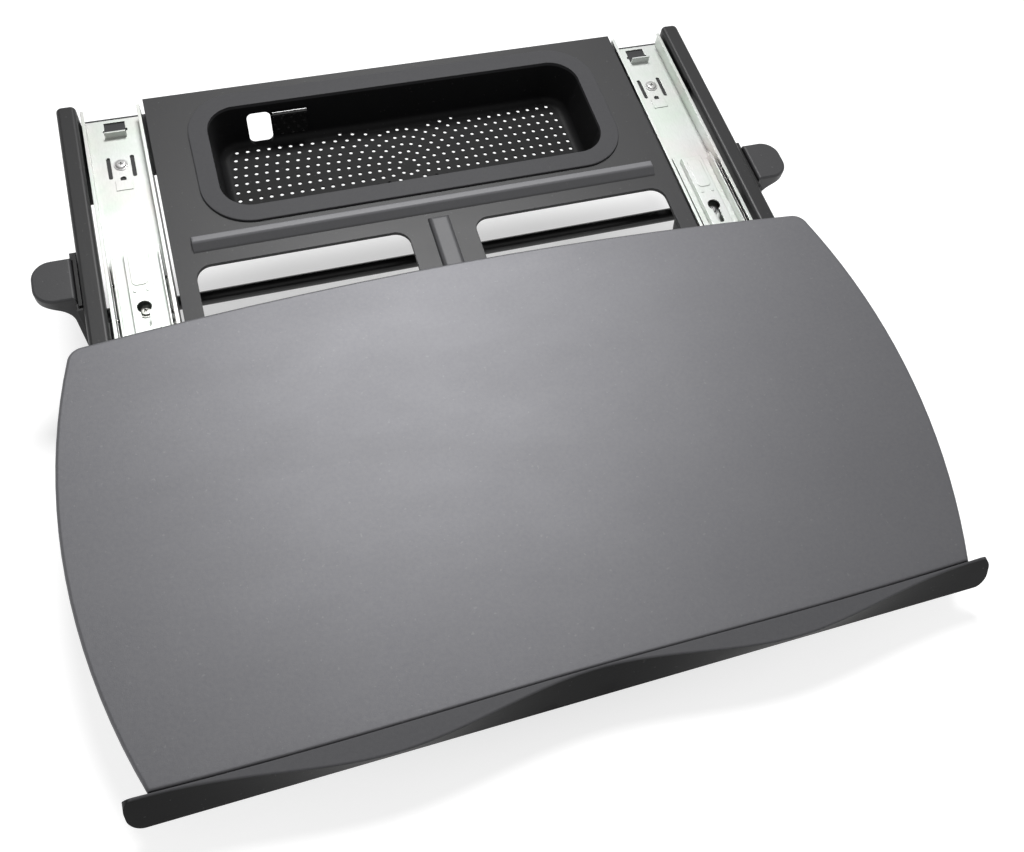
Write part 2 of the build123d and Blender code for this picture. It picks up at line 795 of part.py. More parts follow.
def make_platform():
    """The sliding platform: a thin skin with a rim, ribs and two slide runners."""
    board = extrude(platform_plan(0, platform_rim_bottom), platform_rim)
    corner_edges = board.edges().filter_by(Axis.Z).group_by(Axis.Y)[-1]
    board = fillet(corner_edges, platform_corner_round)
    board = fillet(board.edges().group_by(Axis.Z)[-1], platform_edge_round)
    pocket = extrude(platform_plan(platform_rim_wall, platform_rim_bottom), platform_rim - platform_skin)
    inner_edges = pocket.edges().filter_by(Axis.Z).group_by(Axis.Y)[-1]
    pocket = fillet(inner_edges, platform_corner_round - platform_rim_wall)
    ribs = []
    for share in cross_rib_shares:
        rib_y = platform_rear_middle + share * (crease_middle - platform_rear_middle)
        ribs.append(
            block(
                -platform_widest_half, platform_widest_half, -rib_y - rib_wall / 2, -rib_y + rib_wall / 2,
                platform_rim_bottom, platform_under,
            )
        )
    for share in long_rib_shares:
        rib_x = share * platform_front_half
        ribs.append(
            block(
                rib_x - rib_wall / 2, rib_x + rib_wall / 2, -crease_end, -platform_rear_middle,
                platform_rim_bottom, platform_under,
            )
        )
    kept = [rib & pocket for rib in ribs]
    board -= pocket
    board += kept
    for side in (-1, 1):
        board += Pos(side * slide_x, 0, 0) * make_runner()
    for side in (-1, 1):
        for screw_y in platform_screw_ys:
            board -= rod_z(
                side * slide_x, -screw_y, inner_top - overrun, inner_top + platform_screw_reach,
                small_screw_radius + hole_gap,
            )
    for screw_x, seat_y in lip_screw_places():
        board -= rod_y(
            screw_x, seat_y - platform_rim_wall - overrun, seat_y + overrun, lip_screw_height,
            small_screw_radius + hole_gap,
        )
        board -= rod_y(
            screw_x, seat_y, seat_y + overrun, lip_screw_height, small_screw_head_radius + hole_gap
        )
    return board


def make_runner():
    """A hollow bar under the platform that carries a slide's inner member."""
    half = runner_width / 2
    back = -inner_back - runner_end_gap
    front = -inner_front + runner_end_gap
    runner = block(-half, half, front, back, inner_top, platform_under + platform_skin / 2)
    ends = [back - runner_wall]
    for screw_y in platform_screw_ys:
        ends.append(-screw_y + runner_boss_length / 2)
        ends.append(-screw_y - runner_boss_length / 2)
    ends.append(front + runner_wall)
    for start, stop in zip(ends[0::2], ends[1::2]):
        if start - stop > runner_wall:
            runner -= block(
                runner_wall - half, half - runner_wall, stop, start, inner_top - overrun, platform_under
            )
    return runner


def lip_screw_places():
    """Each lip screw's x and the y of its seat on the rim's inner face."""
    lobe_seat = -crease_lobe + platform_rim_wall
    return ((-lobe_x, lobe_seat), (0, -crease_middle + platform_rim_wall), (lobe_x, lobe_seat))


def make_lip():
    """The wavy front lip: a flat top band whose width swells twice, above a straight lower edge."""
    back_line = Pos(0, -lip_crease_gap, 0) * crease_line(lip_half, 0)
    right_back = (lip_half, -crease_end - lip_crease_gap)
    left_back = (-lip_half, -crease_end - lip_crease_gap)
    low_edges = [
        back_line,
        Line(left_back, (-lip_half, -lip_front)),
        Line((-lip_half, -lip_front), (lip_half, -lip_front)),
        Line((lip_half, -lip_front), right_back),
    ]
    wave = [(-lip_half, -crease_end - lip_band_narrow)]
    for side in (-1, 1):
        shares = lip_wave_shares[::-1] if side < 0 else lip_wave_shares[1:]
        for share in shares:
            swell = lip_band_wave * (1 - cos(2 * pi * share)) / 2
            wave.append((side * share * 2 * lobe_x, -crease_end - lip_band_narrow - swell))
    wave.append((lip_half, -crease_end - lip_band_narrow))
    high_edges = [
        back_line,
        Line(left_back, wave[0]),
        Spline(*wave),
        Line(wave[-1], right_back),
    ]
    low_face = Pos(0, 0, lip_bottom) * make_face(Curve() + low_edges)
    high_face = Pos(0, 0, lip_top) * make_face(Curve() + high_edges)
    lip = loft([low_face, high_face], ruled=True)
    crest = lip.edges().group_by(Axis.Z)[-1].sort_by(Axis.Y)[0]
    lip = fillet(crest, lip_crest_round)
    elevation = Pos(0, (lip_bottom + lip_top) / 2) * RectangleRounded(
        2 * lip_half, lip_top - lip_bottom, lip_end_round
    )
    lip_back = -crease_end + lip_depth
    lip &= extrude(Pos(0, lip_back, 0) * (Plane.XZ * elevation), 2 * lip_depth + lip_band_wave)
    for screw_x, seat_y in lip_screw_places():
        lip -= rod_y(
            screw_x, seat_y - platform_rim_wall - lip_screw_reach - hole_gap, seat_y, lip_screw_height,
            small_screw_radius + hole_gap,
        )
    return lip


def make_lip_screws():
    """Screws that hold the lip from inside the platform's rim."""
    screws = []
    for screw_x, seat_y in lip_screw_places():
        tip_y = seat_y - platform_rim_wall - lip_screw_reach
        shank = rod_y(screw_x, tip_y, seat_y + hole_gap, lip_screw_height, small_screw_radius)
        head = rod_y(screw_x, seat_y, seat_y + small_screw_head, lip_screw_height, small_screw_head_radius)
        screws.append(shank + head)
    return Compound(children=screws)


def make_platform_screws():
    """Screws that hold the inner members under the platform."""
    screws = []
    for screw_y in platform_screw_ys:
        screws.append(
            screw_up(
                slide_x, -screw_y, inner_top - slide_sheet, platform_screw_reach - overrun / 2,
                small_screw_radius, small_screw_head_radius, small_screw_head,
            )
        )
    return both_sides(screws)


def make_post():
    """The right leg post: a steel plate with hinge lugs, two shelves and a window for the lever's nose."""
    post = block(post_inner, post_outer, post_front, post_back, -post_length, -post_top_drop)
    lug_outer = post_inner + post_lug_reach
    lug_top = post_lug_above - lever_pin_drop
    lug_bottom = -post_lug_below - lever_pin_drop
    for lug_y in ((post_front, post_front + post_sheet), (post_back - post_sheet, post_back)):
        post += block(post_inner, lug_outer, *lug_y, lug_bottom, lug_top)
    shelf_top = -rail_drop - running_gap
    for end in (-1, 1):
        shelf_y = -leg_y + end * post_shelf_offset
        post += block(
            post_inner - post_shelf_reach, post_outer, shelf_y - post_shelf_width / 2,
            shelf_y + post_shelf_width / 2, shelf_top - post_sheet, shelf_top,
        )
    window_half = lever_nose_width / 2 + notch_margin
    window_reach = lever_nose_height / 2 + notch_margin
    post -= block(
        post_inner - overrun, post_outer + overrun, -leg_y - window_half, -leg_y + window_half,
        -lever_nose_drop - window_reach, -lever_nose_drop + window_reach,
    )
    post -= rod_x(
        post_inner - overrun, post_outer + overrun, -leg_y, -tube_drop, tube_spigot_radius + hole_gap
    )
    post -= rod_y(
        lever_pin_x, post_front - overrun, post_back + overrun, -lever_pin_drop, lever_pin_radius + hole_gap
    )
    for end in (-1, 1):
        post -= rod_x(
            post_inner - overrun, post_outer + overrun, -leg_y + end * post_screw_offset, -post_screw_drop,
            slide_screw_radius + hole_gap,
        )
    return post


def make_lever():
    """The right release lever: a paddle on a plate that swings on a pin at its lower end."""
    half = lever_width / 2
    front = -leg_y - half
    back = -leg_y + half
    plate = block(lever_inner, lever_outer, front, back, -lever_pin_drop, lever_top)
    plate += rod_y(lever_pin_x, front, back, -lever_pin_drop, lever_thickness / 2)
    under = lever_top - paddle_thickness
    tip = lever_inner + paddle_reach
    outline = block(lever_inner, tip, front, back, under - paddle_web_round, lever_top)
    corner_edges = outline.edges().filter_by(Axis.Z).group_by(Axis.X)[-1]
    outline = fillet(corner_edges, paddle_round)
    paddle = outline & block(lever_inner, tip + overrun, front, back, under, lever_top)
    web = block(
        lever_outer - overrun, lever_outer + paddle_web_round, front, back, under - paddle_web_round,
        under + overrun / 2,
    )
    web -= rod_y(
        lever_outer + paddle_web_round, front - overrun, back + overrun, under - paddle_web_round,
        paddle_web_round,
    )
    lever = plate + paddle
    lever = fillet(lever.edges().group_by(Axis.Z)[-1], paddle_edge_round)
    lever += web & outline
    lever += block(
        rail_outer + lever_nose_margin, lever_inner + overrun / 2, -leg_y - lever_nose_width / 2,
        -leg_y + lever_nose_width / 2, -lever_nose_drop - lever_nose_height / 2,
        -lever_nose_drop + lever_nose_height / 2,
    )
    lever -= rod_y(
        lever_pin_x, front - overrun, back + overrun, -lever_pin_drop, lever_pin_radius + hole_gap
    )
    coil_half = spring_notch_width / 2
    coil_reach = spring_coil_radius + spring_wire / 2 + running_gap
    lever -= block(
        lever_inner - overrun / 2, lever_outer + overrun, -leg_y - coil_half, -leg_y + coil_half,
        -lever_pin_drop - coil_reach, -lever_pin_drop + coil_reach,
    )
    return lever


def make_lever_pins():
    """The levers' hinge pins, headed at both ends."""
    pin = rod_y(
        lever_pin_x, post_front - lever_pin_head, post_back + lever_pin_head, -lever_pin_drop,
        lever_pin_radius,
    )
    for head_y in ((post_front - lever_pin_head, post_front), (post_back, post_back + lever_pin_head)):
        pin += rod_y(lever_pin_x, *head_y, -lever_pin_drop, lever_pin_head_radius)
    return both_sides([pin])


def make_lever_springs():
    """Return springs coiled round the lever pins."""
    length = spring_pitch * spring_turn_count
    path = Helix(spring_pitch, length, spring_coil_radius)
    start = Plane(origin=path @ 0, x_dir=(1, 0, 0), z_dir=path % 0)
    coil = sweep(start * Rectangle(spring_wire, spring_wire), path=path)
    coil = Pos(lever_pin_x, -leg_y + length / 2, -lever_pin_drop) * Rot(quarter_turn, 0, 0) * coil
    return both_sides([coil])


def make_tube():
    """The cross tube between the posts, with end plugs turned down to spigots."""
    tube = rod_x(-post_inner, post_inner, -leg_y, -tube_drop, tube_radius)
    bore_end = post_inner - tube_plug_length
    tube -= rod_x(-bore_end, bore_end, -leg_y, -tube_drop, tube_bore_radius)
    tube += rod_x(-post_outer, -bore_end, -leg_y, -tube_drop, tube_spigot_radius)
    tube += rod_x(bore_end, post_outer, -leg_y, -tube_drop, tube_spigot_radius)
    return tube


def make_foot():
    """The right foot: a long sled bar with a raised boss that holds the post."""
    foot_outer = foot_inner + foot_width
    sled = rounded_block(
        foot_inner, foot_outer, -foot_front, -foot_back, foot_lift, foot_lift + foot_height, foot_round
    )
    sled = fillet(sled.edges().group_by(Axis.Z)[-1], foot_edge_round)
    boss = rounded_block(
        post_inner - boss_margin_x, post_outer + boss_margin_x, post_front - boss_margin_y,
        post_back + boss_margin_y, -boss_bottom_drop, -boss_top_drop, boss_round,
    )
    foot = sled + deck * boss
    below = block(
        foot_inner - foot_width, foot_outer + foot_width, -foot_front, 0, -foot_front, foot_lift
    )
    foot -= below
    socket = block(
        post_inner - hole_gap, post_outer + hole_gap, post_front - hole_gap, post_back + hole_gap,
        -post_length - hole_gap, overrun - boss_top_drop,
    )
    foot -= deck * socket
    for end in (-1, 1):
        screw_y = -leg_y + end * post_screw_offset
        foot -= deck * rod_x(
            post_inner - boss_margin_x - overrun, post_outer + boss_margin_x + overrun, screw_y,
            -post_screw_drop, slide_screw_radius + hole_gap,
        )
    for pad_y in pad_places():
        foot -= rod_z(
            foot_inner + foot_width / 2, pad_y, foot_lift - overrun, pad_thickness, pad_radius + hole_gap
        )
    return foot


def pad_places():
    """The y of each rubber pad along a foot."""
    return (-foot_front + pad_end_inset, -foot_back - pad_end_inset)


def make_pads():
    """Rubber pads let into the feet."""
    pads = []
    for pad_y in pad_places():
        pads.append(rod_z(foot_inner + foot_width / 2, pad_y, 0, pad_thickness, pad_radius))
    return both_sides(pads)


def make_post_screws():
    """Screws that clamp each post in its foot from the outside."""
    screws = []
    seat = post_outer + boss_margin_x
    for end in (-1, 1):
        screw_y = -leg_y + end * post_screw_offset
        shank = rod_x(
            post_inner - boss_margin_x, seat + hole_gap, screw_y, -post_screw_drop, slide_screw_radius
        )
        head = rod_x(seat, seat + small_screw_head, screw_y, -post_screw_drop, small_screw_head_radius)
        screws.append(shank + head)
    return both_sides(screws)


def build_all():
    """Every node by name, in the stand's frame with the table at z = 0."""
    rail = make_rail()
    outer = make_slide_outer()
    middle = make_slide_middle()
    inner = make_slide_inner()
    outer_row = (outer_cage_x, outer_cage_back, outer_cage_length, outer_ball_radius, outer_ball_drop)
    inner_row = (inner_cage_x, inner_cage_back, inner_cage_length, inner_ball_radius, inner_ball_drop)
    outer_cage = make_cage(*outer_row)
    inner_cage = make_cage(*inner_row)
    post = make_post()
    lever = make_lever()
    foot = make_foot()
    deck_pieces = {
        "base_panel": make_panel(),
        "left_rail": other_side(rail),
        "right_rail": rail,
        "rail_screws": make_rail_screws(),
        "pencil_tray": make_tray(),
        "tray_clip": make_clip(),
        "left_slide_outer": other_side(outer),
        "right_slide_outer": outer,
        "slide_screws": make_slide_screws(),
        "left_slide_middle": other_side(middle),
        "right_slide_middle": middle,
        "left_slide_inner": other_side(inner),
        "right_slide_inner": inner,
        "left_outer_cage": other_side(outer_cage),
        "right_outer_cage": outer_cage,
        "outer_balls": make_balls(*outer_row),
        "left_inner_cage": other_side(inner_cage),
        "right_inner_cage": inner_cage,
        "inner_balls": make_balls(*inner_row),
        "platform_board": make_platform(),
        "front_lip": make_lip(),
        "platform_screws": make_platform_screws(),
        "lip_screws": make_lip_screws(),
        "left_post": other_side(post),
        "right_post": post,
        "left_lever": other_side(lever),
        "right_lever": lever,
        "lever_pins": make_lever_pins(),
        "lever_springs": make_lever_springs(),
        "cross_tube": make_tube(),
        "post_screws": make_post_screws(),
    }
    nodes = {name: deck * piece for name, piece in deck_pieces.items()}
    nodes["left_foot"] = other_side(foot)
    nodes["right_foot"] = foot
    nodes["foot_pads"] = make_pads()
    return nodes


def main():
    """Centre the whole over its footprint and write one file per node."""
    os.makedirs("parts", exist_ok=True)
    nodes = build_all()
    lows = [piece.bounding_box().min.Y for piece in nodes.values()]
    highs = [piece.bounding_box().max.Y for piece in nodes.values()]
    centre = Pos(0, -(min(lows) + max(highs)) / 2, 0)
    for name, piece in nodes.items():
        export_step(centre * piece, os.path.join("parts", name + ".step"))


main()
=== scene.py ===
# %% [markdown]
# # A sloping document holder
# The holder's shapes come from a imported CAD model. Each CAD node is a mesh that already sits in its
# place, in metres, with the table top at z = 0. This lesson dresses those shapes: it mixes a finish for
# every material, models the small pieces that show best as real geometry, and sets up a plain studio.

# %% Load the frame
import json
import math

import bmesh
import bpy
from mathutils import Matrix, Vector


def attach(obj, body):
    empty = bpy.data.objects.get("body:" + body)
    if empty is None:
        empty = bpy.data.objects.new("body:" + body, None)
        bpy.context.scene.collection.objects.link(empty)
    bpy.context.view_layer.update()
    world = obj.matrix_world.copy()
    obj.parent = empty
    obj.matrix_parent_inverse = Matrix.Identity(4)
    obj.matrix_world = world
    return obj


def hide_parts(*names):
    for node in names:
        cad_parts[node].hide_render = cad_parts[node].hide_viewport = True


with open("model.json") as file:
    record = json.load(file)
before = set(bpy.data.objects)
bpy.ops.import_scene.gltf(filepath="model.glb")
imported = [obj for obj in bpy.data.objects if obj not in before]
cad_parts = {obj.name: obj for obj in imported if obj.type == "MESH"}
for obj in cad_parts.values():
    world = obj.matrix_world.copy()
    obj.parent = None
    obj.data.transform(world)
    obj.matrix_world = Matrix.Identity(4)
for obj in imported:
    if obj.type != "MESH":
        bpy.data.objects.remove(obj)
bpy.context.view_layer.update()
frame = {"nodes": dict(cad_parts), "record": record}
nodes = frame["nodes"]

# %% [markdown]
# ## The deck's own directions
# Panel, slides and platform slope down to the front. A pattern that follows them, such as the rolling
# lines along a steel slide, is turned by the same slope, and so is every piece that sits on them. The
# highest corner of the base panel is its back edge, and that is where the deck's own frame starts.

# %% Deck directions
DECK_TILT = math.radians(15)
panel_points = [vertex.co for vertex in nodes["base_panel"].data.vertices]
panel_corner = max(panel_points, key=lambda point: point.z)
DECK = Matrix.Translation((0, panel_corner.y, panel_corner.z)) @ Matrix.Rotation(DECK_TILT, 4, "X")
print("deck starts at", [round(value, 4) for value in DECK.translation])

# %% [markdown]
# ## Writing shaders as sums
# A finish is a small network of nodes. Wiring each Math node by hand hides the idea, so a socket gets a
# wrapper that understands plus, minus and times. An expression such as `1 - mask * 0.3` then adds the
# nodes it needs. Every other node comes from one method that sets its options first, then its sockets.


# %% Shader helpers
STEP_WIDTH = 0.001


def join(tree, value, slot):
    """Link a wrapped socket to an input, or set the input's own value."""
    if isinstance(value, Socket):
        tree.links.new(value.output, slot)
    else:
        slot.default_value = value


class Socket:
    """A node's output that takes part in sums."""

    def __init__(self, tree, output):
        self.tree = tree
        self.output = output

    def math(self, operation, first, second):
        node = self.tree.nodes.new("ShaderNodeMath")
        node.operation = operation
        join(self.tree, first, node.inputs[0])
        join(self.tree, second, node.inputs[1])
        return Socket(self.tree, node.outputs[0])

    def __add__(self, other):
        return self.math("ADD", self, other)

    __radd__ = __add__

    def __sub__(self, other):
        return self.math("SUBTRACT", self, other)

    def __rsub__(self, other):
        return self.math("SUBTRACT", other, self)

    def __mul__(self, other):
        return self.math("MULTIPLY", self, other)

    __rmul__ = __mul__


class Finish:
    """A node tree, by default that of a new material with one principled shader."""

    def __init__(self, name, tree=None):
        if tree is None:
            self.material = bpy.data.materials.new(name)
            self.material.use_nodes = True
            tree = self.material.node_tree
        self.tree = tree

    def add(self, kind, settings=None, sockets=None, output=0):
        """A node of a kind: its settings first, then its sockets. Returns one of its outputs."""
        node = self.tree.nodes.new("ShaderNode" + kind)
        for name, value in (settings or {}).items():
            if name == "stops":
                ramp = node.color_ramp
                while len(ramp.elements) < len(value):
                    ramp.elements.new(1.0)
                for element, (place, shade) in zip(ramp.elements, value):
                    element.position = place
                    element.color = (shade, shade, shade, 1)
            else:
                setattr(node, name, value)
        for name, value in (sockets or {}).items():
            join(self.tree, value, node.inputs[name])
        return Socket(self.tree, node.outputs[output])

    def place(self, turn=(0.0, 0.0, 0.0), stretch=(1.0, 1.0, 1.0), shift=(0.0, 0.0, 0.0)):
        """The object's own coordinates, stretched, turned and shifted for a pattern."""
        here = self.add("TexCoord", output="Object")
        sockets = {"Vector": here, "Location": shift, "Rotation": turn, "Scale": stretch}
        return self.add("Mapping", None, sockets)

    def level(self, height):
        """0 below a height over the deck, in metres, and 1 above it."""
        on_deck = self.place((-DECK_TILT, 0.0, 0.0), shift=DECK.inverted().translation)
        climb = self.add("SeparateXYZ", None, {"Vector": on_deck}, "Z")
        return self.ramp((climb - height) * (1 / STEP_WIDTH) + 0.5, (0.0, 0.0), (1.0, 1.0))

    def noise(self, where, size, detail=2.0, rough=0.5):
        """Cloudy noise whose blobs are about this many metres across."""
        sockets = {"Vector": where, "Scale": 1 / size, "Detail": detail, "Roughness": rough}
        return self.add("TexNoise", None, sockets)

    def ramp(self, value, *stops):
        """A value sent through a ramp of (place, shade) stops."""
        return self.add("ValToRGB", {"stops": stops}, {"Fac": value})

    def blend(self, share, first, second):
        """One colour turning into another."""
        sockets = {"Factor": share, "A": first, "B": second}
        return self.add("Mix", {"data_type": "RGBA"}, sockets, "Result")

    def bump(self, height, depth, strength=1.0, edge=None):
        """Fine relief. With an edge radius, sharp edges also catch light as if they were rounded."""
        sockets = {"Height": height, "Distance": depth, "Strength": strength}
        if edge:
            sockets["Normal"] = self.add("Bevel", {"samples": 6}, {"Radius": edge})
        return self.add("Bump", None, sockets)

    def set(self, **values):
        """Set or link the principled shader's sockets by name, with _ for spaces."""
        shader = self.tree.nodes["Principled BSDF"]
        for name, value in values.items():
            join(self.tree, value, shader.inputs[name.replace("_", " ")])
        return self.material


def grey(shade, blue=1.0):
    """A grey of a linear shade, with its blue a little stronger or weaker."""
    return (shade, shade, shade * blue, 1.0)


finishes = {}
print("shader helpers ready")

# %% [markdown]
# ## Moulded plastic
# Most of the holder is injection-moulded plastic with a fine spark-eroded grain. The grain is too small
# to model, so it is a bump map of noise about half a millimetre across. A slower noise mottles colour and
# gloss a little, as handling does, and sparse specks stand for the tiny nicks and dust of use. The
# platform is graphite grey with metal flake in it, which gives its broad satin sheen. Light and shade are
# painted into some mouldings by height over the deck. The lip's top band and the parts of the panel that
# stand proud, such as its ridge and divider rib, are painted paler as a painted highlight, and the ridge's
# crest is paler still. The tray's hollow below its ring is painted dark as painted shade. A moulding has
# no truly sharp edge, so a bevel node rounds the shading there.


# %% Moulded plastic finishes
RIDGE_FOOT = 0.0006
RIDGE_CREST = 0.0043
TRAY_RING = -0.001
LIP_BAND = 0.0009
DARKER = 0.85
PALER = 1.15


def mottle(finish, share, shade):
    """A shade that wavers between a darker and a paler grey, both a little blue."""
    return finish.blend(share, grey(shade * DARKER, 1.08), grey(shade * PALER, 1.04))


def moulded_plastic(name, shade, rough, flake=0.0, gloss=0.5, specks=0.25, painted_light_levels=()):
    """Grained plastic: linear shade, roughness, share of metal flake, gloss, and how many nicks show.

    Each level pair gives a height over the deck and the shade painted on all that stands above it: painted
    light above, painted shade below.
    """
    finish = Finish(name)
    where = finish.place()
    fine = finish.noise(where, 0.0006, 3.0, 0.6)
    pebble = finish.noise(where, 0.0026, 2.0, 0.6)
    cloud = finish.noise(where, 0.07, 4.0, 0.6)
    wipe = finish.noise(finish.place((0.3, 0.1, 0.7), (1.0, 3.0, 1.0)), 0.11, 3.0, 0.6)
    nick = finish.ramp(finish.noise(where, 0.0022, 0.0), (0.0, 0.0), (0.8, 0.0), (0.83, 1.0))
    tone = 0.5 + (cloud - 0.5) * 0.35 + (fine - 0.5) * 0.5 + (pebble - 0.5) * 0.6
    mottle_and_painted_light = mottle(finish, tone, shade)
    # Painted light and shade: above each height over the deck the colour takes another painted shade.
    for height, painted_upper_shade in painted_light_levels:
        painted_upper = mottle(finish, tone, painted_upper_shade)
        mottle_and_painted_light = finish.blend(finish.level(height), mottle_and_painted_light, painted_upper)
    return finish.set(
        Base_Color=finish.blend(nick * specks, mottle_and_painted_light, grey(min(1.0, shade * 2 + 0.08))),
        Roughness=rough + (wipe - 0.5) * 0.06 + (fine - 0.5) * 0.08,
        Metallic=flake,
        Specular_IOR_Level=gloss,
        Normal=finish.bump(fine + pebble - nick * 0.5, 0.00004, 1.0, 0.0007),
    )


lip_points = [DECK.inverted() @ vertex.co for vertex in nodes["front_lip"].data.vertices]
lip_top = max(point.z for point in lip_points)
# Painted highlight: the panel's ridge, divider rib and other proud parts are paler, and the ridge's crest
# paler still.
ridge_painted_highlight = ((RIDGE_FOOT, 0.07), (RIDGE_CREST, 0.17))
# Painted shade: the tray's hollow is darker than its ring.
tray_hollow_painted_shade = ((TRAY_RING, 0.064),)
# Painted highlight: the lip's top band is paler than its front.
lip_band_painted_highlight = ((lip_top - LIP_BAND, 0.1),)
finishes["platform_plastic"] = moulded_plastic("platform graphite", 0.165, 0.57, flake=0.82, specks=0.12)
finishes["base_plastic"] = moulded_plastic("base charcoal", 0.02, 0.5, painted_light_levels=ridge_painted_highlight)
finishes["tray_plastic"] = moulded_plastic("tray charcoal", 0.008, 0.52, gloss=0.16, painted_light_levels=tray_hollow_painted_shade)
finishes["lip_plastic"] = moulded_plastic("lip charcoal", 0.007, 0.55, gloss=0.14, painted_light_levels=lip_band_painted_highlight)
finishes["lever_plastic"] = moulded_plastic("lever charcoal", 0.036, 0.5)
finishes["rail_plastic"] = moulded_plastic("rail charcoal", 0.010, 0.46)
finishes["foot_plastic"] = moulded_plastic("foot charcoal", 0.022, 0.5)
print("plastic finishes:", ", ".join(sorted(finishes)))

# %% [markdown]
# ## Gloss plastic and rubber
# The leaf clip in the tray is polished, so it needs little more than a low roughness with faint ripples.
# The pads under the feet are rubber: dark, dull, and a touch dusty.


# %% Clip and pad finishes
def gloss_plastic(name, shade):
    finish = Finish(name)
    where = finish.place()
    ripple = finish.noise(where, 0.012, 2.0, 0.5)
    dust = finish.noise(where, 0.0012, 2.0, 0.7)
    return finish.set(
        Base_Color=finish.blend(dust * 0.2, grey(shade), grey(shade * 2 + 0.01)),
        Roughness=0.1 + dust * 0.08,
        Coat_Weight=0.3 + ripple * 0.2,
        Normal=finish.bump(ripple, 0.0002, 0.3, 0.0005),
    )


def rubber(name, shade):
    finish = Finish(name)
    where = finish.place()
    dust = finish.noise(where, 0.0016, 3.0, 0.6)
    return finish.set(
        Base_Color=finish.blend(dust * 0.5, grey(shade), grey(shade * 2.5)),
        Roughness=0.75 + dust * 0.2,
        Normal=finish.bump(dust, 0.0001),
    )


finishes["clip_plastic"] = gloss_plastic("clip black", 0.008)
finishes["pad_rubber"] = rubber("pad rubber", 0.014)
print("clip and pad finishes ready")

# %% [markdown]
# ## Steel
# The slides are cold-rolled strip with a bright zinc plating. Rolling leaves faint lines along the strip,
# and the plating has soft blotches with green and pink tints. The lines are noise stretched along the
# slide, turned with the deck. Painted shade darkens the tracks and other crevices, where an ambient
# occlusion node finds little open air; the cages, balls and screws get it too. Posts and cross tube are
# painted black, with a slight orange-peel ripple.


# %% Steel finishes
BLUSH = (0.72, 0.64, 0.63, 1)


def plated_steel(name, plain, tint, rough, lines=0.08):
    """Bright plating with rolling lines along the slope, tinted blotches, and painted shade in its
    crevices.
    """
    finish = Finish(name)
    along = finish.place((-DECK_TILT, 0.0, 0.0), (1.0, 0.03, 1.0))
    where = finish.place()
    line = finish.noise(along, 0.0012, 3.0, 0.6)
    blotch = finish.noise(where, 0.035, 4.0, 0.6)
    fine = finish.noise(where, 0.0016, 2.0, 0.6)
    cast = finish.ramp(blotch, (0.38, 0.0), (0.66, 1.0))
    blush = finish.ramp(finish.noise(where, 0.05, 2.0, 0.5), (0.45, 0.0), (0.7, 1.0))
    toned = finish.blend(blush * 0.5, finish.blend(cast * 0.8, plain, tint), BLUSH)
    lined = finish.blend((line - 0.5) * 0.5 + 0.2, toned, grey(0.45))
    open_air = finish.add("AmbientOcclusion", {"samples": 6}, {"Distance": 0.005}, "AO")
    # Painted shade: darker where the ambient occlusion finds little open air.
    painted_crevice_shade = finish.ramp(open_air, (0.15, 1.0), (0.7, 0.0))
    return finish.set(
        Base_Color=finish.blend(painted_crevice_shade * 0.75, lined, grey(0.1)),
        Metallic=1.0,
        Roughness=rough + (line - 0.5) * lines + (blotch - 0.5) * 0.1,
        Normal=finish.bump(line + fine * 0.6, 0.00005, 0.6, 0.0004),
    )


def painted_steel(name, shade):
    finish = Finish(name)
    where = finish.place()
    peel = finish.noise(where, 0.0025, 2.0, 0.5)
    dust = finish.noise(where, 0.02, 5.0, 0.65)
    return finish.set(
        Base_Color=finish.blend(dust * 0.3, grey(shade), grey(shade * 2.4)),
        Roughness=0.3 + dust * 0.12,
        Coat_Weight=0.1 + dust * 0.1,
        Normal=finish.bump(peel, 0.00012, 0.5, 0.0004),
    )


finishes["slide_steel"] = plated_steel("slide zinc", (0.73, 0.75, 0.73, 1), (0.6, 0.68, 0.6, 1), 0.46)
finishes["cage_steel"] = plated_steel("cage strip", (0.55, 0.55, 0.54, 1), (0.48, 0.48, 0.45, 1), 0.32)
finishes["ball_steel"] = plated_steel("ball steel", grey(0.72), grey(0.66), 0.1, 0.02)
finishes["screw_steel"] = plated_steel("screw zinc", grey(0.82), (0.78, 0.79, 0.7, 1), 0.34, 0.04)
finishes["black_steel"] = painted_steel("black paint", 0.010)
print("steel finishes ready")

# %% [markdown]
# ## Dressing the CAD nodes
# The record names a material slot for each node, so one loop hands out the finishes. The side rails
# share their slot with the base panel, yet they are darker, so they get a finish of their own.

# %% Dress the nodes
dark_nodes = {"left_rail": "rail_plastic", "right_rail": "rail_plastic"}
for part in frame["record"]["subparts"]:
    slots = nodes[part["node"]].data.materials
    slots.clear()
    slots.append(finishes[dark_nodes.get(part["node"], part["material_slot"])])

# %% [markdown]
# ## The platform's rim
# The CAD mesh bridges the round along the platform's rim with long thin triangles, and their corners
# show as small teeth against the floor. A copy of the mesh gets a new rim. Its top and its round come off,
# the wall is drawn up to full height, the opening is closed, and the edge is bevelled in even steps. A
# narrow inset along the top keeps the rim's shading out of the flat face.


# %% Even rim for the platform
def pick_faces(mesh_object, test):
    """Select the faces that pass a test, in edit mode."""
    mesh = bmesh.from_edit_mesh(mesh_object.data)
    for face in mesh.faces:
        face.select_set(test(face))
    bmesh.update_edit_mesh(mesh_object.data)


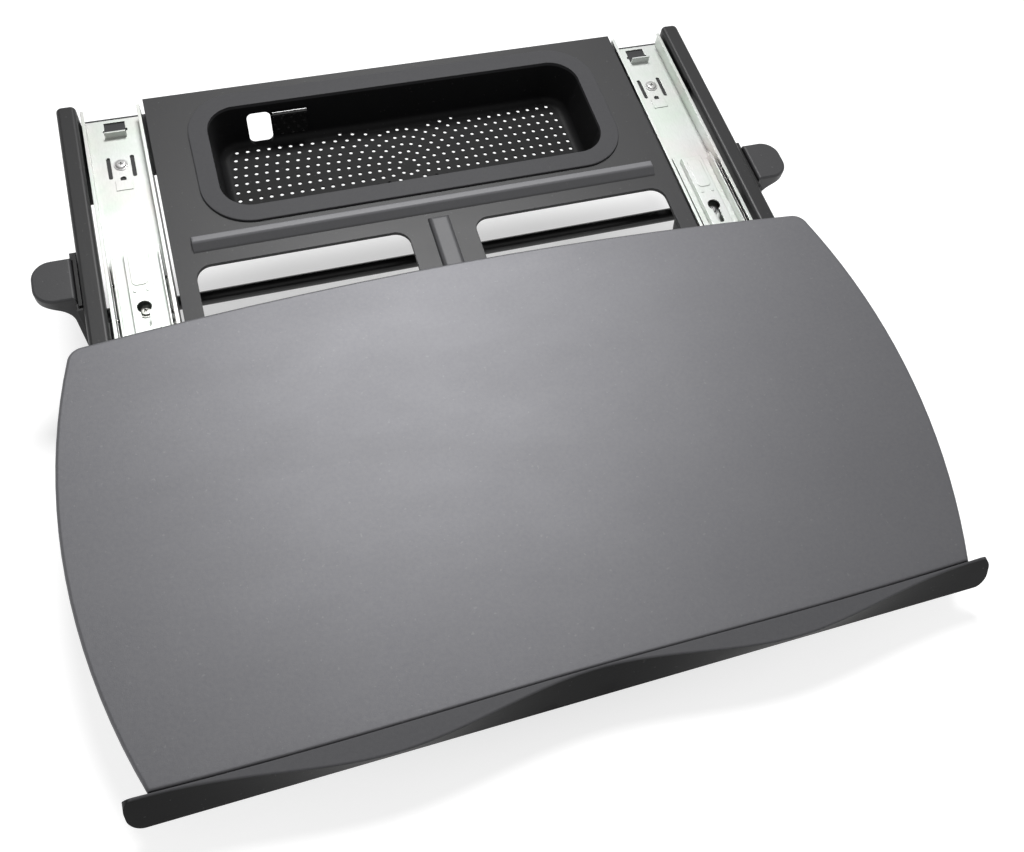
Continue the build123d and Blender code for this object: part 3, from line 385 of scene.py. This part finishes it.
RIM_ROUND = 0.0024
RIM_STEPS = 6
RIM_INSET = 0.0003
HAIR = 0.00001
LEVEL = 0.999
WIDE_FACE = 0.01
SMOOTH_ANGLE = math.radians(30)
even_rim = bpy.data.objects.new("even_rim_platform", nodes["platform_board"].data.copy())
bpy.context.scene.collection.objects.link(even_rim)
even_rim.data.transform(DECK.inverted())
wall_top = max(vertex.co.z for vertex in even_rim.data.vertices) - RIM_ROUND
bpy.ops.object.select_all(action="DESELECT")
even_rim.select_set(True)
bpy.context.view_layer.objects.active = even_rim
bpy.ops.mesh.customdata_custom_splitnormals_clear()
bpy.ops.object.mode_set(mode="EDIT")
bpy.ops.mesh.select_all(action="SELECT")
bpy.ops.mesh.remove_doubles(threshold=HAIR / 10)
pick_faces(even_rim, lambda face: all(corner.co.z > wall_top - HAIR for corner in face.verts))
bpy.ops.mesh.delete(type="FACE")
bpy.ops.mesh.select_mode(type="EDGE")
bpy.ops.mesh.select_non_manifold(
    use_wire=False,
    use_multi_face=False,
    use_non_contiguous=False,
    use_verts=False,
)
bpy.ops.mesh.extrude_region_move(TRANSFORM_OT_translate={"value": (0, 0, RIM_ROUND)})
bpy.ops.mesh.edge_face_add()
bpy.ops.mesh.bevel(offset=RIM_ROUND - HAIR, segments=RIM_STEPS, affect="EDGES")
bpy.ops.mesh.select_mode(type="FACE")
pick_faces(even_rim, lambda face: face.normal.z > LEVEL and face.calc_area() > WIDE_FACE)
bpy.ops.mesh.inset(thickness=RIM_INSET)
bpy.ops.object.mode_set(mode="OBJECT")
even_rim.data.transform(DECK)
bpy.ops.object.shade_smooth_by_angle(angle=SMOOTH_ANGLE)
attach(even_rim, "platform")
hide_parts("platform_board")
print("platform has", len(even_rim.data.polygons), "faces")

# %% [markdown]
# ## Screws
# Four pan-head screws hold the outer slide members, and two of them lie open to view. Four smaller ones
# clamp the posts in the feet from outside. Each has a thin flange, a domed head and a cross recess. A
# screw is shaped from a cylinder: its top is inset and pulled up into the head, its underside is drawn
# down into the shank, and a tapered cross is cut out of the top. The CAD nodes say where each screw
# stands, and the copies take their places and sizes from those points. Only the heads on the slides are
# made a little wider than the CAD's.


# %% Shape a screw
SCREW_SIDES = 48
FLANGE_SHARE = 0.27
HEAD_INSET = 0.24
DOME_SHARE = 0.45
RECESS_TAPER = 0.55
FIRST_TURN = 0.5
NEXT_TURN = 0.8
FACES_UP = 0.9


def pan_screw(head_radius, head_height, shank_radius, shank_length):
    """A screw that stands on its seat at z = 0, with its head upwards."""
    flange = head_height * FLANGE_SHARE
    bpy.ops.object.select_all(action="DESELECT")
    bpy.ops.mesh.primitive_cylinder_add(
        vertices=SCREW_SIDES,
        radius=head_radius,
        depth=flange,
        location=(0, 0, flange / 2),
    )
    screw = bpy.context.active_object
    bpy.ops.object.transform_apply(location=True, rotation=True, scale=True)
    bpy.ops.object.mode_set(mode="EDIT")
    pick_faces(screw, lambda face: face.normal.z > FACES_UP)
    bpy.ops.mesh.inset(thickness=head_radius * HEAD_INSET)
    bpy.ops.mesh.extrude_region_move(TRANSFORM_OT_translate={"value": (0, 0, head_height - flange)})
    bpy.ops.mesh.bevel(offset=head_height * DOME_SHARE, segments=5, affect="EDGES")
    pick_faces(screw, lambda face: face.normal.z < -FACES_UP)
    bpy.ops.mesh.inset(thickness=head_radius - shank_radius)
    bpy.ops.mesh.extrude_region_move(TRANSFORM_OT_translate={"value": (0, 0, -shank_length)})
    bpy.ops.object.mode_set(mode="OBJECT")
    return screw


def cut_recess(screw, length, width, depth, top):
    """Cut a tapered cross into a screw's head."""
    for turn in (0, math.pi / 2):
        bpy.ops.object.select_all(action="DESELECT")
        bpy.ops.mesh.primitive_cube_add(size=1, location=(0, 0, top), rotation=(0, 0, turn))
        cutter = bpy.context.active_object
        cutter.scale = (length, width, 2 * depth)
        bpy.ops.object.transform_apply(location=True, rotation=True, scale=True)
        bpy.ops.object.mode_set(mode="EDIT")
        pick_faces(cutter, lambda face: face.normal.z < -FACES_UP)
        bpy.ops.transform.resize(value=(RECESS_TAPER, RECESS_TAPER, 1))
        bpy.ops.object.mode_set(mode="OBJECT")
        bpy.context.view_layer.objects.active = screw
        cut = screw.modifiers.new("recess", "BOOLEAN")
        cut.operation = "DIFFERENCE"
        cut.object = cutter
        bpy.ops.object.modifier_apply(modifier=cut.name)
        bpy.data.objects.remove(cutter)


def set_screws(screw, name, body, node, stands):
    """Copy a screw to its places on the deck, joined as one piece that stands for a CAD node."""
    bpy.ops.object.select_all(action="DESELECT")
    for number, stand in enumerate(stands):
        copy = screw.copy()
        copy.data = screw.data.copy()
        bpy.context.scene.collection.objects.link(copy)
        turn = Matrix.Rotation(FIRST_TURN + NEXT_TURN * number, 4, "Z")
        copy.data.transform(DECK @ stand @ turn)
        copy.select_set(True)
        bpy.context.view_layer.objects.active = copy
    bpy.data.objects.remove(screw)
    bpy.ops.object.join()
    fixings = bpy.context.active_object
    fixings.name = name
    bpy.ops.object.shade_smooth_by_angle(angle=SMOOTH_ANGLE)
    fixings.data.materials.append(finishes["screw_steel"])
    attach(fixings, body)
    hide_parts(node)
    print(name, "holds", len(stands), "screws and", len(fixings.data.polygons), "faces")


def screw_spans(node):
    """The lowest and highest x, y and z on the deck of each of a node's four screws, with its side."""
    on_deck = [DECK.inverted() @ vertex.co for vertex in nodes[node].data.vertices]
    halfway = (min(point.y for point in on_deck) + max(point.y for point in on_deck)) / 2
    for side in (-1, 1):
        own_side = [point for point in on_deck if point.x * side > 0]
        for end in (-1, 1):
            own = [point for point in own_side if (point.y - halfway) * end > 0]
            yield side, [(min(values), max(values)) for values in zip(*own)]


print("screw helpers ready")

# %% Slide screws
SLIDE_HEAD = 0.0022
SLIDE_HEAD_SHARE = 0.58
SLIDE_RECESS = (0.0046, 0.001, 0.0013)
SHANK_RADIUS = 0.002
stands = []
for side, (x_span, y_span, z_span) in screw_spans("slide_screws"):
    seat = z_span[1] - SLIDE_HEAD
    stands.append(Matrix.Translation((sum(x_span) / 2, sum(y_span) / 2, seat)))
head_radius = (x_span[1] - x_span[0]) * SLIDE_HEAD_SHARE
slide_screw = pan_screw(head_radius, SLIDE_HEAD, SHANK_RADIUS, seat - z_span[0])
cut_recess(slide_screw, *SLIDE_RECESS, SLIDE_HEAD)
set_screws(slide_screw, "slide_pan_screws", "base", "slide_screws", stands)

# %% Post screws
POST_HEAD = 0.0018
POST_RECESS = (0.003, 0.0007, 0.001)
stands = []
for side, (x_span, y_span, z_span) in screw_spans("post_screws"):
    middle = (max(x_span, key=abs) - side * POST_HEAD, sum(y_span) / 2, sum(z_span) / 2)
    stands.append(Matrix.Translation(middle) @ Matrix.Rotation(side * math.pi / 2, 4, "Y"))
head_radius = (y_span[1] - y_span[0]) / 2
post_screw = pan_screw(head_radius, POST_HEAD, SHANK_RADIUS, x_span[1] - x_span[0] - POST_HEAD)
cut_recess(post_screw, *POST_RECESS, POST_HEAD)
set_screws(post_screw, "post_pan_screws", "stand", "post_screws", stands)

# %% [markdown]
# ## Studio
# The photograph shows the holder on plain white under a soft light overhead, a little behind it. A disc
# lamp gives the soft bright patch on the platform, and a pale sky fills the shadows. Rays from the camera
# and from shiny metal see the floor and the sky near the horizon as white, as they would see a studio's
# walls, while the ceiling stays dim. The floor's glow is weaker under the holder than far away. That
# paints a darker patch of shade under the holder and leaves the real shadow visible.

# %% Floor
FLOOR_SIZE = 14
# The glow's centre and stops: weakest near the holder, as painted shade, and near white far away.
GLOW_SHIFT = (0.0, -0.12, 0.0)
GLOW_AND_PAINTED_SHADE_STOPS = ((0.09, 0.5), (0.21, 0.76), (1.0, 0.95))
bpy.ops.object.select_all(action="DESELECT")
bpy.ops.mesh.primitive_plane_add(size=FLOOR_SIZE, location=(0, 0, 0))
floor = bpy.context.active_object
floor.name = "studio_floor"
floor_finish = Finish("floor white")


def seen_directly(finish):
    """1 for rays from the camera, gloss or glass, and 0 for the light that fills the scene."""
    camera_ray = finish.add("LightPath", output="Is Camera Ray")
    glossy_ray = finish.add("LightPath", output="Is Glossy Ray")
    clear_ray = finish.add("LightPath", output="Is Transmission Ray")
    return camera_ray + glossy_ray + clear_ray


floor_place = floor_finish.place(shift=GLOW_SHIFT)
floor_grain = floor_finish.noise(floor_place, 0.4, 2.0, 0.5)
away = floor_finish.add("VectorMath", {"operation": "LENGTH"}, {"Vector": floor_place}, "Value")
# Painted shade: the floor glows less near the holder.
glow_with_painted_shade = floor_finish.ramp(away * 0.5, *GLOW_AND_PAINTED_SHADE_STOPS)
floor_glow_and_painted_shade = floor_finish.blend(seen_directly(floor_finish), grey(0.0), glow_with_painted_shade)
floor.data.materials.append(
    floor_finish.set(
        Base_Color=floor_finish.blend(floor_grain, grey(0.5), grey(0.52)),
        Roughness=0.9,
        Specular_IOR_Level=0.0,
        Emission_Color=floor_glow_and_painted_shade,
        Emission_Strength=1.0,
    )
)
print("floor ready")

# %% Sky and lamp
SKY_LEVEL = 0.3
LAMP_SIZE = 0.5
LAMP_WATTS = 22.0
LAMP_PLACE = Vector((0.148, 0.48, 1.37))
LAMP_AIM = Vector((0.0, -0.38, 0.02))
world = bpy.data.worlds.new("studio sky")
bpy.context.scene.world = world
world.use_nodes = True
sky = Finish("sky", world.node_tree)
sky_light = world.node_tree.nodes["Background"]
sky_light.inputs["Color"].default_value = grey(1.0)
climb = sky.add("SeparateXYZ", None, {"Vector": sky.add("TexCoord", output="Generated")}, "Z")
walls = sky.ramp(climb, (0.0, 1.0), (0.3, 1.0), (0.65, 0.0))
join(sky.tree, SKY_LEVEL + seen_directly(sky) * walls * (1 - SKY_LEVEL), sky_light.inputs["Strength"])

lamp = bpy.data.lights.new("overhead disc", "AREA")
lamp.shape = "DISK"
lamp.size = LAMP_SIZE
lamp.energy = LAMP_WATTS
lamp_object = bpy.data.objects.new("overhead disc", lamp)
bpy.context.scene.collection.objects.link(lamp_object)
lamp_object.location = DECK @ LAMP_PLACE
aim = DECK @ LAMP_AIM - lamp_object.location
lamp_object.rotation_euler = aim.to_track_quat("-Z", "Y").to_euler()
bpy.context.scene.view_settings.view_transform = "Standard"
print("sky level", SKY_LEVEL, "and lamp", lamp.energy, "W")

# %% [markdown]
# ## Camera
# The camera was worked out from features that mirror each other in the photograph, such as the two slides
# and the two windows. It stands in front, above and to the left, and its place is measured on the deck.

# %% Camera
CAMERA_PLACE = Vector((-0.164577, -0.682320, 0.651293))
CAMERA_RIGHT = Vector((0.9511784, -0.2908819, 0.1031860))
CAMERA_UP = Vector((0.2112987, 0.8574064, 0.4692624))
camera_data = bpy.data.cameras.new("photo camera")
camera_data.sensor_width = 36.0
camera_data.lens = 36.171
camera = bpy.data.objects.new("photo camera", camera_data)
bpy.context.scene.collection.objects.link(camera)
turn = Matrix((CAMERA_RIGHT, CAMERA_UP, CAMERA_RIGHT.cross(CAMERA_UP))).transposed()
camera.matrix_world = DECK @ Matrix.Translation(CAMERA_PLACE) @ turn.to_4x4()
bpy.context.scene.camera = camera
print("camera at", [round(value, 4) for value in camera.matrix_world.translation])
